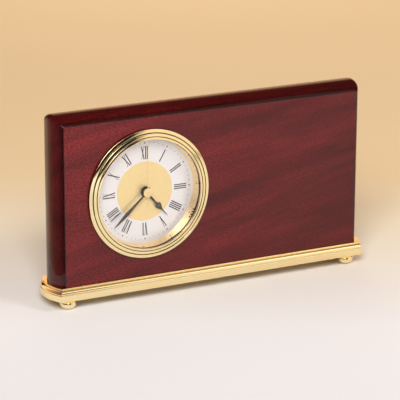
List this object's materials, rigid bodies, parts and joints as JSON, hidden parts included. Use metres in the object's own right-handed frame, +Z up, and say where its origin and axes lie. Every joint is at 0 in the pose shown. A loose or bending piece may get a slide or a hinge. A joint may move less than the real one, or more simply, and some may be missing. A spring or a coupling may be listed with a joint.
{
  "type": "desk clock",
  "caption": "Desk clock: a glossy dark-red wooden block with bowed ends and top on a moulded brass base with bun feet, holding a round brass-bezelled quartz clock insert.",
  "frame": {"origin": "middle of the footprint, on the surface the feet stand on", "axes": "+Z up, the dial faces -Y, +X to the right as seen from the front"},
  "size_m": [0.221, 0.0324, 0.1203],
  "materials": {
    "lacquered_wood": "dark red rosewood-stained hardwood under thick high-gloss lacquer",
    "polished_brass": "polished and lacquered, pale yellow",
    "brass_gear": "machined",
    "steel": "bright plated",
    "clear_glass": "flat polished mineral glass",
    "black_rubber": "matte",
    "silver_dial": "satin silver ring with a fine-grained gold centre and black print",
    "dark_hand": "dark bronze-black gloss",
    "black_plastic": "moulded, fine texture",
    "white_plastic": "moulded, natural acetal",
    "copper_wire": "enamelled copper wire",
    "green_board": "solder-resist on glass-fibre board",
    "battery_skin": "satin printed steel, unlettered"
  },
  "bodies": {
    "case": {"case_block": "lacquered_wood", "base_plate": "polished_brass", "base_screws": "steel", "foot_front_left": "polished_brass", "foot_front_right": "polished_brass", "foot_rear_left": "polished_brass", "foot_rear_right": "polished_brass"},
    "insert": {"bezel": "polished_brass", "crystal": "clear_glass", "crystal_gasket": "black_rubber", "rehaut_ring": "polished_brass", "dial": "silver_dial", "insert_cup": "black_plastic", "grip_ring": "black_rubber", "front_plate": "white_plastic", "plate_screws": "steel", "train_bridge": "white_plastic", "stator": "steel", "coil_core": "steel", "coil_bobbin": "white_plastic", "coil_winding": "copper_wire", "circuit_board": "green_board", "quartz_can": "steel", "timer_chip": "black_plastic", "movement_case": "black_plastic", "battery": "battery_skin", "contact_positive": "steel", "contact_negative": "steel", "back_cover": "black_plastic", "cover_screws": "steel"},
    "seconds": {"second_wheel": "brass_gear", "second_hand": "polished_brass"},
    "intermediate": {"intermediate_wheel": "white_plastic"},
    "motor": {"rotor": "steel"},
    "third": {"third_wheel": "brass_gear"},
    "centre": {"centre_wheel": "brass_gear"},
    "minutes": {"cannon_pinion": "brass_gear", "minute_hand": "dark_hand"},
    "minute_relay": {"minute_wheel": "brass_gear"},
    "hours": {"hour_wheel": "brass_gear", "hour_hand": "dark_hand"},
    "setting": {"setting_shaft": "white_plastic", "setting_knob": "black_plastic"},
    "battery_lid": {"battery_cover": "black_plastic"}
  },
  "joints": [
    {"name": "insert_slide", "type": "slide", "parent": "case", "child": "insert", "axis": [0, -1, 0], "range_m": [0, 0.045]},
    {"name": "battery_lid_slide", "type": "slide", "parent": "insert", "child": "battery_lid", "axis": [0, 1, 0], "range_m": [0, 0.02]},
    {"name": "second_spin", "type": "hinge", "parent": "insert", "child": "seconds", "pos_m": [-0.0455, 0, 0.067], "axis": [0, 1, 0], "continuous": true},
    {"name": "intermediate_spin", "type": "hinge", "parent": "insert", "child": "intermediate", "pos_m": [-0.04113, 0, 0.07458], "axis": [0, 1, 0], "continuous": true},
    {"name": "rotor_spin", "type": "hinge", "parent": "insert", "child": "motor", "pos_m": [-0.03374, 0, 0.07328], "axis": [0, 1, 0], "continuous": true},
    {"name": "third_spin", "type": "hinge", "parent": "insert", "child": "third", "pos_m": [-0.05508, 0, 0.07049], "axis": [0, 1, 0], "continuous": true},
    {"name": "centre_spin", "type": "hinge", "parent": "insert", "child": "centre", "pos_m": [-0.0455, 0, 0.067], "axis": [0, 1, 0], "continuous": true},
    {"name": "minute_spin", "type": "hinge", "parent": "insert", "child": "minutes", "pos_m": [-0.0455, 0, 0.067], "axis": [0, 1, 0], "continuous": true},
    {"name": "minute_relay_spin", "type": "hinge", "parent": "insert", "child": "minute_relay", "pos_m": [-0.03873, 0, 0.06454], "axis": [0, 1, 0], "continuous": true},
    {"name": "hour_spin", "type": "hinge", "parent": "insert", "child": "hours", "pos_m": [-0.0455, 0, 0.067], "axis": [0, 1, 0], "continuous": true},
    {"name": "setting_spin", "type": "hinge", "parent": "insert", "child": "setting", "pos_m": [-0.03197, 0, 0.06207], "axis": [0, 1, 0], "continuous": true}
  ],
  "couplings": [
    {"joint": "intermediate_spin", "follows": "second_spin", "ratio": -6},
    {"joint": "rotor_spin", "follows": "second_spin", "ratio": 30},
    {"joint": "third_spin", "follows": "second_spin", "ratio": -0.13333},
    {"joint": "centre_spin", "follows": "second_spin", "ratio": 0.016667},
    {"joint": "minute_relay_spin", "follows": "minute_spin", "ratio": -0.33333},
    {"joint": "hour_spin", "follows": "minute_spin", "ratio": 0.083333},
    {"joint": "setting_spin", "follows": "minute_spin", "ratio": 1}
  ]
}
